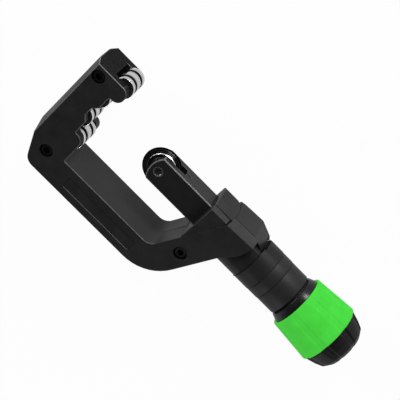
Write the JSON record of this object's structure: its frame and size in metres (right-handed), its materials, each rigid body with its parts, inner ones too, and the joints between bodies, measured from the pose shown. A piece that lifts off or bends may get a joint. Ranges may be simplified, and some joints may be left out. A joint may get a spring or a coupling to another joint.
{
  "type": "tube cutter",
  "caption": "C-frame tube cutter: a wheel on a screw-fed square bar presses the tube against grooved rollers, driven by a green lobed knob.",
  "frame": {"origin": "middle of the bottom of the bounding box, with the tool lying on its side", "axes": "+X along the feed screw from the rollers to the knob, +Y to the open side of the throat, +Z through the thickness, up"},
  "size_m": [0.254, 0.0904, 0.0473],
  "materials": {
    "frame_cast": "satin black powder coat on die-cast metal",
    "housing_cast": "satin black powder coat",
    "handle_tube": "satin black coating",
    "bar_steel": "black oxide, satin",
    "plated_steel": "bright plating",
    "dark_steel": "black oxide",
    "wheel_steel": "dark hardened steel, ground edge",
    "bronze": "turned bronze",
    "black_plastic": "moulded, satin",
    "green_plastic": "moulded, satin"
  },
  "bodies": {
    "frame": {"frame_half_upper": "frame_cast", "frame_half_lower": "frame_cast", "guide_housing": "housing_cast", "frame_screw_1": "dark_steel", "frame_screw_2": "dark_steel", "frame_screw_3": "dark_steel", "roller_pin_outer_top": "dark_steel", "roller_pin_inner_top": "dark_steel", "roller_pin_inner_low": "dark_steel", "roller_pin_outer_low": "dark_steel", "handle_sleeve": "handle_tube", "sleeve_end_bush": "bronze"},
    "roller_outer_top": {"roller_outer_top": "plated_steel"},
    "roller_inner_top": {"roller_inner_top": "plated_steel"},
    "roller_inner_low": {"roller_inner_low": "plated_steel"},
    "roller_outer_low": {"roller_outer_low": "plated_steel"},
    "slide": {"slide_bar": "bar_steel", "feed_nut": "bronze", "nut_set_screw": "dark_steel", "wheel_pin": "plated_steel", "wheel_pin_clip": "dark_steel"},
    "wheel": {"cutting_wheel": "wheel_steel", "wheel_bush": "bronze"},
    "knob": {"feed_screw": "dark_steel", "thrust_washer_front": "dark_steel", "thrust_washer_rear": "dark_steel", "knob_core": "black_plastic", "knob_drive_pin": "dark_steel", "knob_grip": "green_plastic", "knob_end_cap": "black_plastic", "knob_nut_washer": "plated_steel", "knob_nut": "plated_steel"}
  },
  "joints": [
    {"name": "knob_turn", "type": "hinge", "parent": "frame", "child": "knob", "pos_m": [0.098, 0.01265, 0.02364], "axis": [-1, 0, 0], "range_deg": [-3060, 4740]},
    {"name": "bar_feed", "type": "slide", "parent": "frame", "child": "slide", "axis": [-1, 0, 0], "range_m": [-0.02551, 0.03951]},
    {"name": "wheel_spin", "type": "hinge", "parent": "slide", "child": "wheel", "pos_m": [-0.048, 0.01265, 0.02364], "axis": [0, 0, 1], "continuous": true},
    {"name": "roller_outer_top_spin", "type": "hinge", "parent": "frame", "child": "roller_outer_top", "pos_m": [-0.1024, 0.03795, 0.02364], "axis": [0, 0, 1], "continuous": true},
    {"name": "roller_inner_top_spin", "type": "hinge", "parent": "frame", "child": "roller_inner_top", "pos_m": [-0.1086, 0.02165, 0.02364], "axis": [0, 0, 1], "continuous": true},
    {"name": "roller_inner_low_spin", "type": "hinge", "parent": "frame", "child": "roller_inner_low", "pos_m": [-0.1086, 0.00365, 0.02364], "axis": [0, 0, 1], "continuous": true},
    {"name": "roller_outer_low_spin", "type": "hinge", "parent": "frame", "child": "roller_outer_low", "pos_m": [-0.1024, -0.01265, 0.02364], "axis": [0, 0, 1], "continuous": true}
  ],
  "couplings": [
    {"joint": "bar_feed", "follows": "knob_turn", "m_per_rad": 0.00047746}
  ]
}
